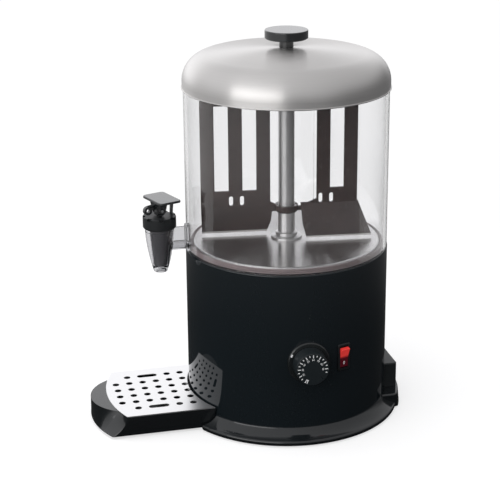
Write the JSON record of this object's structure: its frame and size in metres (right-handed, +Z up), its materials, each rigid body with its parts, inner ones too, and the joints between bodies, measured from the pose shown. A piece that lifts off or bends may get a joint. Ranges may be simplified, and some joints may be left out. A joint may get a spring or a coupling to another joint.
{
  "type": "hot chocolate dispenser",
  "caption": "Countertop hot chocolate dispenser: black heated drum, clear bowl with a stirrer and tap, domed steel lid, dial, rocker switch and drip tray.",
  "frame": {"origin": "on the drum's axis at the counter, in the plane of the foot ring's underside", "axes": "+Z up along the drum's axis, -Y to the front where the tap and drip tray are, +X to the side with the dial and switch"},
  "size_m": [0.2843, 0.3876, 0.469],
  "materials": {
    "base_plastic": "gloss black moulding",
    "foot_rubber": "matt black rubber",
    "plated_steel": "zinc plated",
    "drum_paint": "gloss black paint",
    "cord_rubber": "matt black rubber",
    "terminal_plastic": "matt cream",
    "plate_steel": "turned finish",
    "seal_silicone": "satin grey-brown silicone",
    "tank_steel": "drawn sheet",
    "element_steel": "heat-darkened tube",
    "brass": "machined",
    "column_steel": "polished tube",
    "motor_paint": "grey paint",
    "stirrer_brown": "satin dark brown",
    "bowl_clear": "clear polycarbonate",
    "lid_steel": "spun and brushed",
    "knob_plastic": "gloss black",
    "tap_clear": "clear moulding",
    "tap_black": "gloss black",
    "cup_silicone": "dark grey silicone",
    "tray_plastic": "satin black",
    "grid_steel": "bright stainless",
    "dial_plastic": "satin black",
    "switch_plastic": "gloss black",
    "rocker_red": "translucent red",
    "thermostat_plastic": "moulded",
    "copper": "drawn copper tube"
  },
  "bodies": {
    "machine": {"base": "base_plastic", "base_plate": "plated_steel", "foot_ring": "foot_rubber", "base_screws": "plated_steel", "drum": "drum_paint", "rear_cover": "base_plastic", "rear_cover_screws": "plated_steel", "cord_bush": "cord_rubber", "terminal_block": "terminal_plastic", "heated_plate": "plate_steel", "plate_seal": "seal_silicone", "water_tank": "tank_steel", "heating_element": "element_steel", "element_nuts": "brass", "centre_column": "column_steel", "shaft_bushes": "brass", "gear_motor": "motor_paint", "motor_bracket": "plated_steel", "motor_standoffs": "plated_steel", "motor_screws": "plated_steel", "tie_rods": "plated_steel", "tie_rod_nuts": "plated_steel", "thermostat": "thermostat_plastic", "thermostat_nut": "plated_steel", "thermostat_bulb": "copper", "dial_bezel": "dial_plastic", "switch_housing": "switch_plastic"},
    "stirrer": {"motor_output_shaft": "plated_steel", "shaft_coupling": "plated_steel", "drive_shaft": "column_steel", "stirrer_hub": "stirrer_brown", "front_paddle": "stirrer_brown", "rear_paddle": "stirrer_brown", "stirrer_crossbar": "stirrer_brown"},
    "bowl": {"bowl": "bowl_clear", "tap_body": "tap_clear", "tap_collar": "tap_black", "tap_seat_cup": "cup_silicone"},
    "plunger": {"tap_stem": "tap_black"},
    "lever": {"tap_lever": "tap_black", "lever_pin": "plated_steel"},
    "lid": {"lid": "lid_steel", "lid_knob": "knob_plastic", "lid_knob_screw": "plated_steel"},
    "dial": {"dial": "dial_plastic", "thermostat_spindle": "plated_steel"},
    "rocker": {"switch_rocker": "rocker_red"},
    "tray": {"drip_tray": "tray_plastic"},
    "grid": {"drip_grid": "grid_steel"}
  },
  "joints": [
    {"name": "stirrer_spin", "type": "hinge", "parent": "machine", "child": "stirrer", "pos_m": [0, 0, 0.3], "axis": [0, 0, 1], "continuous": true},
    {"name": "bowl_lift", "type": "slide", "parent": "machine", "child": "bowl", "axis": [0, 0, 1], "range_m": [0, 0.2]},
    {"name": "lid_lift", "type": "slide", "parent": "bowl", "child": "lid", "axis": [0, 0, 1], "range_m": [0, 0.15]},
    {"name": "lever_press", "type": "hinge", "parent": "plunger", "child": "lever", "pos_m": [0, -0.1554, 0.2615], "axis": [0.9397, 0.342, 0], "range_deg": [0, 32], "stiffness_Nm_per_rad": 0.33, "springref_deg": -11.46},
    {"name": "plunger_lift", "type": "slide", "parent": "bowl", "child": "plunger", "axis": [0, 0, 1], "range_m": [0, 0.0053], "deforming": ["tap_seat_cup"]},
    {"name": "dial_turn", "type": "hinge", "parent": "machine", "child": "dial", "pos_m": [0.1299, -0.00522, 0.1008], "axis": [0.9992, -0.0401, 0], "range_deg": [-91, 171]},
    {"name": "rocker_tilt", "type": "hinge", "parent": "machine", "child": "rocker", "pos_m": [0.113, 0.03825, 0.1008], "axis": [-0.3206, 0.9472, 0], "range_deg": [-20, 0]},
    {"name": "tray_slide", "type": "slide", "parent": "machine", "child": "tray", "axis": [0, -1, 0], "range_m": [0, 0.15]},
    {"name": "grid_lift", "type": "slide", "parent": "tray", "child": "grid", "axis": [0, 0, 1], "range_m": [0, 0.05]}
  ],
  "couplings": [
    {"joint": "lever_press", "follows": "plunger_lift", "rad_per_m": 105.38}
  ]
}
